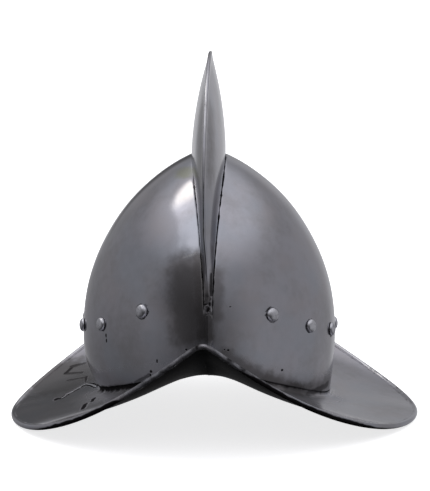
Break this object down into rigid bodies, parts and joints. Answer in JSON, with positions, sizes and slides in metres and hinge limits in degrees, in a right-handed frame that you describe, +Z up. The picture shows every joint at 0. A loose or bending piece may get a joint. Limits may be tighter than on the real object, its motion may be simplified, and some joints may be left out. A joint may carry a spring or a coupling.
{
  "type": "comb morion helmet",
  "caption": "Bare steel comb morion with a tall hollow crest along a pointed skull, a row of domed rivets and a boat-shaped brim that turns up to a peak at front and back.",
  "frame": {"origin": "on the floor the helmet stands on, under the middle of its bounding box", "axes": "+Z up, -Y towards the front peak, +X towards the wearer's left"},
  "size_m": [0.3196, 0.3502, 0.2841],
  "materials": {
    "sheet_steel": "satin, hand polished, with brown tarnish and dark seams",
    "rivet_steel": "satin, worn bright on top"
  },
  "bodies": {
    "root": {"skull_left": "sheet_steel", "skull_right": "sheet_steel", "comb": "sheet_steel", "brim": "sheet_steel", "rivet_left_1": "rivet_steel", "rivet_left_2": "rivet_steel", "rivet_left_3": "rivet_steel", "rivet_left_4": "rivet_steel", "rivet_left_5": "rivet_steel", "rivet_left_6": "rivet_steel", "rivet_right_1": "rivet_steel", "rivet_right_2": "rivet_steel", "rivet_right_3": "rivet_steel", "rivet_right_4": "rivet_steel", "rivet_right_5": "rivet_steel", "rivet_right_6": "rivet_steel"}
  },
  "joints": []
}
